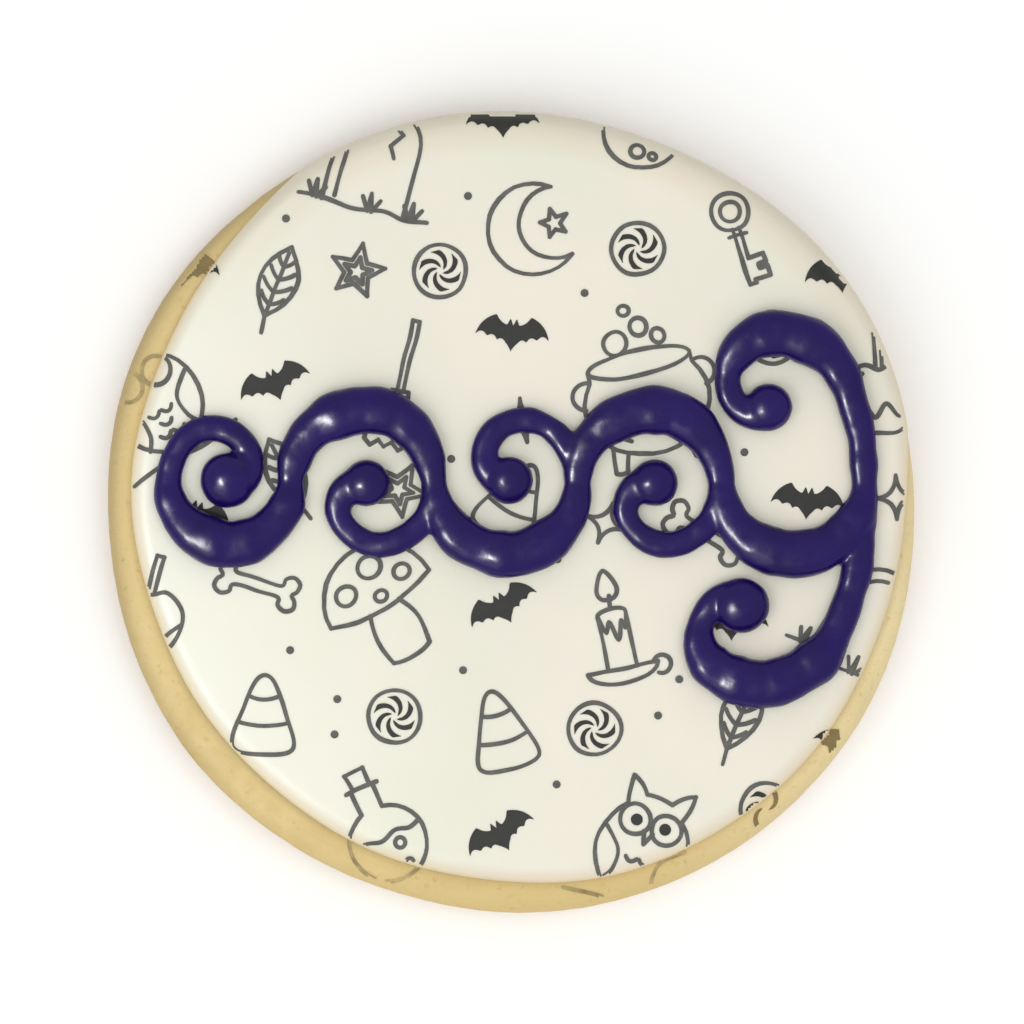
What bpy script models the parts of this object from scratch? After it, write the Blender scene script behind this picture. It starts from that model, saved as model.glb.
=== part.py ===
"""A round Halloween biscuit: baked dough, a flood of pale icing and a piped scroll of dark icing.

It lies on its flat base, with the origin under its middle and its iced face up. Lengths are in metres.
"""

import math

import bmesh
import bpy

MM = 0.001

# The baked dough: a disc from a round cutter, with a soft shoulder and a bulging side
BISCUIT_RADIUS = 42.5 * MM
BISCUIT_HEIGHT = 7.0 * MM
SHOULDER_WIDTH = 2.6 * MM
SHOULDER_DROP = 3.2 * MM
FOOT_WIDTH = 1.1 * MM
# Waves of the rim: how many go round, how high they are, and where one crest is, in degrees from +X
RIM_WAVES = (
    (2, 0.41 * MM, 162),
    (3, 0.11 * MM, 35),
    (4, 0.14 * MM, 38),
    (5, 0.07 * MM, 21),
    (6, 0.17 * MM, 35),
)

# The flood of icing, poured a little off the middle so that it reaches the rim at the upper right
ICING_CENTRE = (2.1 * MM, 4.2 * MM)
ICING_RADIUS = 42.0 * MM
ICING_THICKNESS = 1.8 * MM
ICING_EDGE_WIDTH = 1.8 * MM
ICING_EDGE_DROP = 1.4 * MM
ICING_FOOT_WIDTH = 0.3 * MM
ICING_WAVES = (
    (2, 1.90 * MM, 67),
    (3, 0.98 * MM, -57),
    (5, 0.14 * MM, 32),
    (7, 0.08 * MM, 25),
    (11, 0.09 * MM, -14),
)
# How gently the flood's own edge turns along the biscuit's rim where it reaches it
ICING_RIM_BLEND = 0.3 * MM
# The flood follows the biscuit's shoulder down to this distance from the rim
DRAPE_LIMIT = 0.5 * MM

# Facets: steps round each turned disc, and steps along each rounded edge
TURN_STEPS = 72
SHOULDER_STEPS = 5
FOOT_STEPS = 3
ICING_FOOT_STEPS = 2
# Rings on the flat faces of a disc: one part of the way out, and some this far in from the flat's edge
MIDDLE_RING = 0.6
BISCUIT_RINGS = (4.0 * MM,)
ICING_RINGS = (6.0 * MM, 2.8 * MM, 2.2 * MM, 1.7 * MM, 1.2 * MM, 0.8 * MM, 0.4 * MM)

# The piped scroll: a chain of scrolls over and under a level line in turn, and a bow down the right
MIDDLE_Y = 3.0 * MM
FIRST_JOIN_X = -23.2 * MM
# Each scroll: its arc's radius and turn in degrees, its curl's first radius and turn, and the part of its
# radius that the curl loses for each degree turned
START_SCROLL = (6.4 * MM, 180.0, 6.4 * MM, 275.0, 0.0050)
CHAIN_SCROLL = (7.5 * MM, 180.0, 7.5 * MM, 275.0, 0.0050)
CHAIN_END = (7.5 * MM, 180.0, 7.5 * MM, 0.0, 0.0)
BOW_TOP = (30.0 * MM, 19.0, 9.6 * MM, 285.0, 0.0056)
BOW_TAIL = (46.0 * MM, 17.0, 12.2 * MM, 290.0, 0.0066)
# The bead's half width where it is thin, and where it swells: how wide, and over how many degrees of turn
THIN_HALF_WIDTH = 1.35 * MM
STEM_SWELL = (2.5 * MM, 180.0)
TOP_SWELL = (2.5 * MM, 170.0)
TAIL_SWELL = (2.6 * MM, 190.0)
BALL_RADIUS = 2.5 * MM
LARGE_BALL_RADIUS = 2.9 * MM
# Over this length before a ball the bead swells to this share of the ball's radius
DROP_LENGTH = 6.0 * MM
DROP_SHARE = 0.85
# A bead's middle lies this much of its half width above its base
BEAD_LIFT = 0.20
# A bead sags to this much of its height
BEAD_FLATNESS = 0.84
# Steps along a bead: this long, or this much of the bend's radius where that is shorter
PATH_STEP = 1.3 * MM
STEP_OF_BEND = 0.5
# Steps round a bead's round end, in degrees
END_CAP_ANGLES = (30.0, 60.0, 84.0)
BEAD_BEVEL_RESOLUTION = 3
BALL_SEGMENTS = 12
BALL_RINGS = 8

# Solids that rest on each other stand this far apart
GAP = 0.3 * MM
MERGE_DISTANCE = 0.01 * MM
SHARP_ANGLE = math.radians(50)

SCROLL_BASE = BISCUIT_HEIGHT + GAP + ICING_THICKNESS + GAP


def clear_scene():
    """Remove what a new file holds."""
    for item in list(bpy.data.objects):
        bpy.data.objects.remove(item)


def new_collection(name):
    """A collection in the scene."""
    group = bpy.data.collections.new(name)
    bpy.context.scene.collection.children.link(group)
    return group


def linear(value):
    """One colour channel, from 0 to 255 as seen on a screen, as linear light."""
    part = value / 255
    return part / 12.92 if part <= 0.04045 else ((part + 0.055) / 1.055) ** 2.4


def new_material(name, red, green, blue, roughness):
    """A plain, non-metallic surface."""
    made = bpy.data.materials.new(name)
    made.use_nodes = True
    shader = made.node_tree.nodes["Principled BSDF"]
    colour = (linear(red), linear(green), linear(blue), 1.0)
    shader.inputs["Base Color"].default_value = colour
    shader.inputs["Roughness"].default_value = roughness
    shader.inputs["Metallic"].default_value = 0.0
    made.diffuse_color = colour
    return made


def baked_dough():
    """Pale golden shortbread dough."""
    return new_material("baked_dough", 223, 200, 143, 0.85)


def cream_icing():
    """Smooth off-white royal icing."""
    return new_material("cream_icing", 236, 233, 216, 0.40)


def indigo_icing():
    """Dark blue-violet piping icing, slightly glossy."""
    return new_material("indigo_icing", 45, 35, 90, 0.30)


def waves(angle, parts):
    """The sum of some waves round a rim, at an angle in radians."""
    return sum(height * math.cos(count * (angle - math.radians(crest))) for count, height, crest in parts)


def biscuit_rim(angle):
    """The biscuit's outer radius."""
    return BISCUIT_RADIUS + waves(angle, RIM_WAVES)


def rim_distance(angle):
    """How far the biscuit's rim is from the middle of the icing."""
    reach = BISCUIT_RADIUS
    for _ in range(4):
        x = ICING_CENTRE[0] + reach * math.cos(angle)
        y = ICING_CENTRE[1] + reach * math.sin(angle)
        reach += biscuit_rim(math.atan2(y, x)) - math.hypot(x, y)
    return reach


def icing_rim(angle):
    """The icing's outer radius about its middle: its own edge, or the biscuit's rim where that is nearer."""
    own = ICING_RADIUS + waves(angle, ICING_WAVES)
    limit = rim_distance(angle)
    return 0.5 * (own + limit - math.hypot(own - limit, ICING_RIM_BLEND))


def biscuit_top(x, y):
    """The height of the biscuit's upper face, as far as the icing lies on it."""
    inset = biscuit_rim(math.atan2(y, x)) - math.hypot(x, y)
    inset = max(inset, DRAPE_LIMIT)
    if inset >= SHOULDER_WIDTH:
        return BISCUIT_HEIGHT
    along = 1 - inset / SHOULDER_WIDTH
    return BISCUIT_HEIGHT - SHOULDER_DROP * (1 - math.sqrt(1 - along * along))


def flat_rings(radius, insets):
    """The radii of the rings on a flat face, from its middle outwards."""
    return [0.0, radius * MIDDLE_RING] + [radius - inset for inset in insets]


def disc_profile(radius, height, shoulder, foot, shoulder_steps, foot_steps, insets):
    """Half the section of a disc, from the middle of its top, round its edge, to the middle of its base.

    The shoulder and the foot are quarter ellipses, each given by its width and its height.
    """
    flat_top = radius - shoulder[0]
    flat_base = radius - foot[0]
    points = [(ring, height) for ring in flat_rings(flat_top, insets)]
    for step in range(shoulder_steps + 1):
        angle = math.pi / 2 * step / shoulder_steps
        drop = shoulder[1] * (1 - math.cos(angle))
        points.append((flat_top + shoulder[0] * math.sin(angle), height - drop))
    for step in range(1, foot_steps + 1):
        angle = math.pi / 2 * step / foot_steps
        points.append((flat_base + foot[0] * math.cos(angle), foot[1] * (1 - math.sin(angle))))
    points += [(ring, 0.0) for ring in reversed(flat_rings(flat_base, insets))]
    return points


def turned_disc(name, profile, group):
    """A disc turned from a profile, made a plain mesh."""
    mesh = bpy.data.meshes.new(name + "_profile")
    edges = [(index, index + 1) for index in range(len(profile) - 1)]
    mesh.from_pydata([(radius, 0.0, height) for radius, height in profile], edges, [])
    guide = bpy.data.objects.new(name + "_profile", mesh)
    group.objects.link(guide)
    screw = guide.modifiers.new("turn", "SCREW")
    screw.steps = TURN_STEPS
    screw.render_steps = TURN_STEPS
    screw.use_merge_vertices = True
    screw.merge_threshold = MERGE_DISTANCE
    evaluated = guide.evaluated_get(bpy.context.evaluated_depsgraph_get())
    disc = bpy.data.objects.new(name, bpy.data.meshes.new_from_object(evaluated))
    disc.data.name = name
    group.objects.link(disc)
    bpy.data.objects.remove(guide)
    return disc


def finish(item, material):
    """Give an object its one material and smooth shading with crisp creases."""
    item.data.materials.clear()
    item.data.materials.append(material)
    item.data.shade_smooth()
    item.data.set_sharp_from_angle(angle=SHARP_ANGLE)


def widen(vertex, stretch):
    """Move a vertex of a turned disc out from its axis, by a factor."""
    vertex.co.x *= stretch
    vertex.co.y *= stretch


def make_biscuit(group):
    """The dough: a turned disc whose rim is then waved."""
    foot_rise = BISCUIT_HEIGHT - SHOULDER_DROP
    profile = disc_profile(
        BISCUIT_RADIUS,
        BISCUIT_HEIGHT,
        (SHOULDER_WIDTH, SHOULDER_DROP),
        (FOOT_WIDTH, foot_rise),
        SHOULDER_STEPS,
        FOOT_STEPS,
        BISCUIT_RINGS,
    )
    disc = turned_disc("biscuit", profile, group)
    for vertex in disc.data.vertices:
        angle = math.atan2(vertex.co.y, vertex.co.x)
        widen(vertex, biscuit_rim(angle) / BISCUIT_RADIUS)
    finish(disc, baked_dough())
    return disc


def make_icing(group):
    """The flood: a thin turned disc, moved off the middle and draped over the biscuit's shoulder."""
    foot_rise = ICING_THICKNESS - ICING_EDGE_DROP
    profile = disc_profile(
        ICING_RADIUS,
        ICING_THICKNESS,
        (ICING_EDGE_WIDTH, ICING_EDGE_DROP),
        (ICING_FOOT_WIDTH, foot_rise),
        SHOULDER_STEPS,
        ICING_FOOT_STEPS,
        ICING_RINGS,
    )
    disc = turned_disc("flood_icing", profile, group)
    for vertex in disc.data.vertices:
        angle = math.atan2(vertex.co.y, vertex.co.x)
        widen(vertex, icing_rim(angle) / ICING_RADIUS)
        vertex.co.x += ICING_CENTRE[0]
        vertex.co.y += ICING_CENTRE[1]
        vertex.co.z += biscuit_top(vertex.co.x, vertex.co.y) + GAP
    finish(disc, cream_icing())
    return disc


def scroll_path(start, heading, side, shape, swell):
    """The middle line of one scroll, as (x, y, half width) for each step.

    It turns through an arc of one radius, to the left for side 1 or to the right for side -1, and then
    through a curl whose radius shrinks evenly.
    """
    arc_radius, arc_turn, curl_radius, curl_turn, tightening = shape
    swell_width, swell_turn = swell
    x, y = start
    turned = 0.0
    rows = [(x, y, THIN_HALF_WIDTH)]
    while turned < arc_turn + curl_turn:
        bend = arc_radius
        if turned >= arc_turn:
            bend = curl_radius * math.exp(-tightening * (turned - arc_turn))
        step = min(PATH_STEP, STEP_OF_BEND * bend)
        turn = step / bend
        direction = math.radians(heading + side * turned) + side * turn / 2
        x += step * math.cos(direction)
        y += step * math.sin(direction)
        turned += math.degrees(turn)
        swollen = math.sin(math.pi * min(1.0, turned / swell_turn))
        rows.append((x, y, THIN_HALF_WIDTH + (swell_width - THIN_HALF_WIDTH) * swollen))
    return rows


def widen_end(rows, radius):
    """The same line, swelling towards the drop that ends it."""
    made = []
    left = 0.0
    ahead = rows[-1]
    for row in reversed(rows):
        left += math.hypot(row[0] - ahead[0], row[1] - ahead[1])
        near = max(0.0, 1 - left / DROP_LENGTH)
        made.append((row[0], row[1], row[2] + (DROP_SHARE * radius - row[2]) * near * near))
        ahead = row
    return made[::-1]


def scroll_plan():
    """Each stroke of the ornament: its middle line, and the radius of its end ball or None."""
    up = 90.0
    down = -90.0
    join_x = FIRST_JOIN_X
    strokes = [(scroll_path((join_x, MIDDLE_Y), down, -1, START_SCROLL, STEM_SWELL), LARGE_BALL_RADIUS)]
    chain = ((-1, CHAIN_SCROLL), (1, CHAIN_SCROLL), (-1, CHAIN_SCROLL), (1, CHAIN_END))
    for side, shape in chain:
        heading = up if side < 0 else down
        ball_radius = BALL_RADIUS if shape is CHAIN_SCROLL else None
        strokes.append((scroll_path((join_x, MIDDLE_Y), heading, side, shape, STEM_SWELL), ball_radius))
        join_x += 2 * shape[0]
    strokes.append((scroll_path((join_x, MIDDLE_Y), up, 1, BOW_TOP, TOP_SWELL), BALL_RADIUS))
    strokes.append((scroll_path((join_x, MIDDLE_Y), down, -1, BOW_TAIL, TAIL_SWELL), LARGE_BALL_RADIUS))
    return [(widen_end(rows, radius) if radius else rows, radius) for rows, radius in strokes]


def round_end(row, inner):
    """Steps of falling width beyond an end of a bead, as (x, y, half width, half width of the bead)."""
    x, y, width = row
    length = math.hypot(x - inner[0], y - inner[1])
    out_x = (x - inner[0]) / length
    out_y = (y - inner[1]) / length
    steps = []
    for degrees in END_CAP_ANGLES:
        reach = width * math.sin(math.radians(degrees))
        narrow = width * math.cos(math.radians(degrees))
        steps.append((x + out_x * reach, y + out_y * reach, narrow, width))
    return steps


def make_bead(name, rows, group):
    """A round bead along a middle line, with round ends, made a closed mesh."""
    line = round_end(rows[0], rows[1])[::-1]
    line += [(x, y, width, width) for x, y, width in rows]
    line += round_end(rows[-1], rows[-2])
    curve = bpy.data.curves.new(name, "CURVE")
    curve.dimensions = "3D"
    curve.bevel_depth = 1.0
    curve.bevel_resolution = BEAD_BEVEL_RESOLUTION
    curve.use_fill_caps = True
    spline = curve.splines.new("POLY")
    spline.points.add(len(line) - 1)
    for point, (x, y, width, bead_width) in zip(spline.points, line):
        point.co = (x, y, BEAD_LIFT * bead_width, 1.0)
        point.radius = width
    guide = bpy.data.objects.new(name + "_line", curve)
    group.objects.link(guide)
    evaluated = guide.evaluated_get(bpy.context.evaluated_depsgraph_get())
    mesh = bpy.data.meshes.new_from_object(evaluated)
    work = bmesh.new()
    work.from_mesh(mesh)
    bmesh.ops.remove_doubles(work, verts=work.verts, dist=MERGE_DISTANCE)
    work.to_mesh(mesh)
    work.free()
    bead = bpy.data.objects.new(name, mesh)
    bead.matrix_world = guide.matrix_world
    group.objects.link(bead)
    bpy.data.objects.remove(guide)
    return bead


def make_ball(name, row, radius, group):
    """The round blob where the piping bag stopped."""
    work = bmesh.new()
    bmesh.ops.create_uvsphere(work, u_segments=BALL_SEGMENTS, v_segments=BALL_RINGS, radius=radius)
    mesh = bpy.data.meshes.new(name)
    work.to_mesh(mesh)
    work.free()
    for vertex in mesh.vertices:
        vertex.co.x += row[0]
        vertex.co.y += row[1]
        vertex.co.z += BEAD_LIFT * radius
    ball = bpy.data.objects.new(name, mesh)
    group.objects.link(ball)
    return ball


def apply_modifiers(item):
    """Make an object's evaluated shape its own mesh."""
    evaluated = item.evaluated_get(bpy.context.evaluated_depsgraph_get())
    mesh = bpy.data.meshes.new_from_object(evaluated)
    item.modifiers.clear()
    item.data = mesh


def make_scroll(group, cutters):
    """The piping: every bead and ball joined into one solid, sagged, and flat where it lies."""
    beads = bpy.data.collections.new("beads")
    cutters.children.link(beads)
    for number, (path, ball_radius) in enumerate(scroll_plan()):
        make_bead(f"bead_{number}", path, beads)
        if ball_radius:
            make_ball(f"ball_{number}", path[-1], ball_radius, beads)
    first = beads.objects["bead_0"]
    beads.objects.unlink(first)
    group.objects.link(first)
    join = first.modifiers.new("join", "BOOLEAN")
    join.operation = "UNION"
    join.operand_type = "COLLECTION"
    join.collection = beads
    join.solver = "EXACT"
    join.use_self = True
    apply_modifiers(first)
    for item in list(beads.objects):
        bpy.data.objects.remove(item)
    first.name = "piped_scroll"
    first.data.name = "piped_scroll"
    flatten_base(first)
    finish(first, indigo_icing())
    return first


def flatten_base(item):
    """Sag the beads, cut off what lies below their base, close the cut and lift them to their place."""
    work = bmesh.new()
    work.from_mesh(item.data)
    for vertex in work.verts:
        vertex.co.z *= BEAD_FLATNESS
    whole = work.verts[:] + work.edges[:] + work.faces[:]
    cut = bmesh.ops.bisect_plane(work, geom=whole, plane_co=(0, 0, 0), plane_no=(0, 0, -1), clear_outer=True)
    rim = [part for part in cut["geom_cut"] if isinstance(part, bmesh.types.BMEdge)]
    bmesh.ops.triangle_fill(work, edges=rim, use_dissolve=False)
    bmesh.ops.remove_doubles(work, verts=work.verts, dist=MERGE_DISTANCE)
    bmesh.ops.recalc_face_normals(work, faces=work.faces)
    bmesh.ops.translate(work, verts=work.verts, vec=(0, 0, SCROLL_BASE))
    work.to_mesh(item.data)
    work.free()


def main():
    clear_scene()
    parts = new_collection("halloween_biscuit")
    cutters = new_collection("cutters")
    make_biscuit(parts)
    make_icing(parts)
    make_scroll(parts, cutters)


main()
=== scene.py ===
"""The looks of an iced Halloween biscuit: baked dough, satin flood icing, glossy piping and a fine print."""

import math
import random

import bmesh
import bpy
import numpy as np
from mathutils import Matrix, Vector, noise
from mathutils.bvhtree import BVHTree
from mathutils.geometry import delaunay_2d_cdt


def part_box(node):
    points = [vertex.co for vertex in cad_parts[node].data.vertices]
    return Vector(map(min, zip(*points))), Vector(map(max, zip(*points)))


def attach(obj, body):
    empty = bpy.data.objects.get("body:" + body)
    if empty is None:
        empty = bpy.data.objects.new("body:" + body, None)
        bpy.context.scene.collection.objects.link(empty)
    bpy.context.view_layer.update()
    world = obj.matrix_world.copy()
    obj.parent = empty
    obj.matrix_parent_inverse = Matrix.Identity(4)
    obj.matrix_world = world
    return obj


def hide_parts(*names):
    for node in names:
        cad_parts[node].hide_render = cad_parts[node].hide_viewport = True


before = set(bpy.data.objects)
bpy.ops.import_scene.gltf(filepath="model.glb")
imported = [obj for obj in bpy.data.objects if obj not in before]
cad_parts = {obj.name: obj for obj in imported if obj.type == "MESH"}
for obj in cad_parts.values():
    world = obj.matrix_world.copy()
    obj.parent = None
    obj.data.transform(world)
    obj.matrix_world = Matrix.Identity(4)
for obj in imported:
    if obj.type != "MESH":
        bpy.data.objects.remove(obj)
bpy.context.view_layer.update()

MM = 0.001

# Heights, read from the solids
BISCUIT_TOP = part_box("biscuit")[1].z
ICING_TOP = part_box("flood_icing")[1].z
SCROLL_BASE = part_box("piped_scroll")[0].z

# The outlines, with the same waves as the solids: how many go round, how high, and where one crest is
BISCUIT_RADIUS = 42.5 * MM
SHOULDER_WIDTH = 2.6 * MM
SHOULDER_DROP = 3.2 * MM
FOOT_WIDTH = 1.1 * MM
RIM_WAVES = (
    (2, 0.41 * MM, 162),
    (3, 0.11 * MM, 35),
    (4, 0.14 * MM, 38),
    (5, 0.07 * MM, 21),
    (6, 0.17 * MM, 35),
)
ICING_CENTRE = (2.1 * MM, 4.2 * MM)
ICING_RADIUS = 42.0 * MM
ICING_EDGE_WIDTH = 1.8 * MM
ICING_EDGE_DROP = 1.4 * MM
ICING_FOOT_WIDTH = 0.3 * MM
ICING_WAVES = (
    (2, 1.90 * MM, 67),
    (3, 0.98 * MM, -57),
    (5, 0.14 * MM, 32),
    (7, 0.08 * MM, 25),
    (11, 0.09 * MM, -14),
)
ICING_RIM_BLEND = 0.3 * MM
DRAPE_LIMIT = 0.5 * MM

# The piped scroll, with the same strokes as the solid
MIDDLE_Y = 3.0 * MM
FIRST_JOIN_X = -23.2 * MM
START_SCROLL = (6.4 * MM, 180.0, 6.4 * MM, 275.0, 0.0050)
CHAIN_SCROLL = (7.5 * MM, 180.0, 7.5 * MM, 275.0, 0.0050)
CHAIN_END = (7.5 * MM, 180.0, 7.5 * MM, 0.0, 0.0)
BOW_TOP = (30.0 * MM, 19.0, 9.6 * MM, 285.0, 0.0056)
BOW_TAIL = (46.0 * MM, 17.0, 12.2 * MM, 290.0, 0.0066)
THIN_HALF_WIDTH = 1.35 * MM
STEM_SWELL = (2.5 * MM, 180.0)
TOP_SWELL = (2.5 * MM, 170.0)
TAIL_SWELL = (2.6 * MM, 190.0)
BALL_RADIUS = 2.5 * MM
LARGE_BALL_RADIUS = 2.9 * MM
DROP_LENGTH = 6.0 * MM
DROP_SHARE = 0.85
BEAD_LIFT = 0.20
# The bead's section is round at 1 and squarer below
BEAD_ROUNDNESS = 0.80
BEAD_FLATNESS = 0.81

# Fineness of the meshes
TURN_STEPS = 480
EDGE_STEPS = 18
FLAT_RING_STEP = 0.5 * MM
FLAT_RING_COUNT = 10
PATH_STEP = 0.4 * MM
STEP_OF_BEND = 0.2
BEAD_SIDES = 24
CAP_STEPS = 6
VOXEL = 0.21 * MM
SMOOTHING_ROUNDS = 14
BALL_TURNS = 32
BALL_RINGS = 20
WELD = 0.001 * MM
# What the smoothing and the wear take off the piping, on average
SOFTENING = 0.18 * MM
# Painted shade: the piping is darker where it meets the icing, up to this height
CONTACT_SHADE_HEIGHT = 1.0 * MM

# The hand that pipes: how far its line drifts, in waves of what length and over how many steps that begins,
# and the swellings of its width, as (wavelength, share, level of the noise) rows
HAND_DRIFT = 0.30 * MM
HAND_WAVE = 6.0 * MM
HAND_EASE = 12
HAND_SWELLS = ((3.6 * MM, 0.14, 0.0), (1.5 * MM, 0.05, 9.0))

# The lumps of each surface, as (wavelength, depth, seed) rows
BAKED_LUMPS = ((11 * MM, 0.16 * MM, 1), (2.6 * MM, 0.07 * MM, 2), (1.1 * MM, 0.05 * MM, 3))
FLOOD_LUMPS = ((15 * MM, 0.10 * MM, 4), (5 * MM, 0.03 * MM, 5))
PIPED_LUMPS = ((3.4 * MM, 0.22 * MM, 6), (1.5 * MM, 0.10 * MM, 7))

# Each upper layer reaches this far into the one below, so that no gap shows
ICING_SINK = 0.30 * MM
SCROLL_SINK = 0.20 * MM
# Under the drape the icing fills the shoulder down to this distance from the rim
FILL_LIMIT = 0.05 * MM

# The dough's tone changes towards three sides: darker and browner at the rim towards one, painted shade
# towards the next, and paler, painted light, towards the last. Each is an angle from +X, how far from the
# middle its tone begins, and how strong it is at the rim
BROWN_SIDE = (155.0, 8 * MM, 1.0)
DOUGH_SHADED_SIDE = (285.0, 18 * MM, 0.9)
DOUGH_LIT_SIDE = (-12.0, 22 * MM, 0.5)
SIDE_REACH = 42 * MM
# The side towards which painted light makes the icing whiter, and the one whose edge has painted shade
ICING_LIT_SIDE = 195.0
ICING_SHADED_SIDE = 80.0

# Painted shade: the dough is a little darker along the icing, this far out
ICING_SHADE_WIDTH = 0.8 * MM
# It is browned towards the base: up to what height, how uneven that is, how much and how fast it fades
BROWNED_HEIGHT = 4.2 * MM
BROWNED_LUMPS = ((4 * MM, 0.8 * MM, 8),)
BROWNED_SHARE = 0.85
BROWNED_FADE = 1.3
# The tones at a rim follow the distance from it, up to this
RIM_TONES = 5 * MM

# The print, in millimetres until it is laid on the surface
LINE_WIDTH = 0.45
DOT_RADIUS = 0.43
SWIRL_STRIPES = 6
# The pen wavers by this much, in waves of this length, and its line's width varies by this share
PEN_SHAKE = 0.16
PEN_WAVE = 3.0
PEN_PRESSURE = 0.30
PEN_TIP = 0.6
# How much of the deeper tone each kind of mark has: the printer lays more ink where it fills a shape
SOLID_INK = {"line": 0.0, "dot": 0.0, "patch": 0.85}
# The light, the dark and the deeper tone of the ink on each layer, and the size of its patches
INK_TONES = {
    "icing": ((104, 104, 100), (84, 84, 81), (38, 38, 35), 1.2 * MM),
    "biscuit": ((198, 176, 122), (134, 117, 78), (126, 109, 70), 2.0 * MM),
}
# Scraps of a line that have fewer faces than this are left off
FEWEST_FACES = {"icing": 8, "biscuit": 28}
ARC_STEP = 12.0
BOW_STEPS = 8
SHARP_TURN = math.radians(32)
INK_STEP = 0.22
PATCH_STEP = 0.26
INK_RISE = 0.05 * MM
INK_THICKNESS = 0.10 * MM
# A pen line climbs by one level from its start to its end, and each mark starts on the next of a few
# levels, so that no two faces lie at one height where lines cross
INK_LEVEL = 0.004
INK_LEVELS = 6
# Ink misses what is steeper than this, given as the upright part of the surface's normal
STEEPEST_PRINT = {"icing": 0.42, "biscuit": 0.60}
# The sheet that the print is laid out on, wider than the biscuit, so that the rim cuts some figures
SHEET_SIDE = 100.0
SHEET_TRIES = 500
LARGEST_TURN = 32.0
SEED = 28
DOWN = Vector((0.0, 0.0, -1.0))
ABOVE = 0.1

# The view: straight down on the iced face, tilted a little towards the lower left
VIEW_WIDTH = 107.7 * MM
VIEW_HEIGHT = 4.5 * MM
VIEW_TILT = 1.5
VIEW_HEADING = -35.0
LENS = 250.0
SENSOR = 36.0

# The light of the room, and the lamps: where each stands, how wide it is, its watts and its tint
ROOM_LIGHT = 0.64
SOFTBOX = ((-0.24, -0.26, 0.42), 0.40, 0.70, (1.0, 0.99, 0.96))
FILL = ((0.26, -0.08, 0.86), 0.60, 1.90, (0.98, 0.99, 1.0))
GLINT = ((-0.22, -0.08, 0.40), 0.085, 2.5, (1.0, 1.0, 1.0))
FLOOR_GLOW = 0.08


def add_object(name, data):
    """A new object in the scene."""
    made = bpy.data.objects.new(name, data)
    bpy.context.scene.collection.objects.link(made)
    return made


def make_camera():
    """A long lens above the biscuit, whose frame is VIEW_WIDTH wide at the height of the iced face."""
    data = bpy.data.cameras.new("camera")
    data.lens = LENS
    data.sensor_width = SENSOR
    data.clip_start = 0.01
    data.clip_end = 10.0
    camera = add_object("camera", data)
    bpy.context.scene.camera = camera
    tilt = math.radians(VIEW_TILT)
    heading = math.radians(VIEW_HEADING)
    back = Vector((math.sin(heading) * math.sin(tilt), -math.cos(heading) * math.sin(tilt), math.cos(tilt)))
    side = Vector((0.0, 1.0, 0.0)).cross(back).normalized()
    upright = back.cross(side)
    place = Vector((0.0, 0.0, VIEW_HEIGHT)) + back * (VIEW_WIDTH * LENS / SENSOR)
    turned = Matrix((side, upright, back)).transposed().to_4x4()
    camera.matrix_world = Matrix.Translation(place) @ turned


def area_light(name, place, size, watts, tint):
    """A square soft light that shines at the biscuit."""
    data = bpy.data.lights.new(name, "AREA")
    data.shape = "SQUARE"
    data.size = size
    data.energy = watts
    data.color = tint
    light = add_object(name, data)
    light.location = place
    light.rotation_euler = (-Vector(place)).to_track_quat("-Z", "Y").to_euler()
    return light


def make_lights():
    """A soft room, a softbox in front, a wide fill without a highlight, and a small lamp for those alone."""
    world = bpy.data.worlds.new("room")
    world.use_nodes = True
    background = world.node_tree.nodes["Background"]
    background.inputs["Color"].default_value = (1.0, 1.0, 0.99, 1.0)
    background.inputs["Strength"].default_value = ROOM_LIGHT
    bpy.context.scene.world = world
    area_light("softbox", *SOFTBOX)
    fill = area_light("fill", *FILL)
    fill.visible_glossy = False
    glint = area_light("glint", *GLINT)
    glint.visible_diffuse = False
    view = bpy.context.scene.view_settings
    view.view_transform = "Standard"
    view.look = "None"
    view.exposure = 0.0
    view.gamma = 1.0


def colour(*channels):
    """A screen colour, its channels from 0 to 255, as the linear colour of a shader socket."""
    parts = [channel / 255 for channel in channels]
    light = [part / 12.92 if part <= 0.04045 else ((part + 0.055) / 1.055) ** 2.4 for part in parts]
    return (*light, 1.0)


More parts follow.
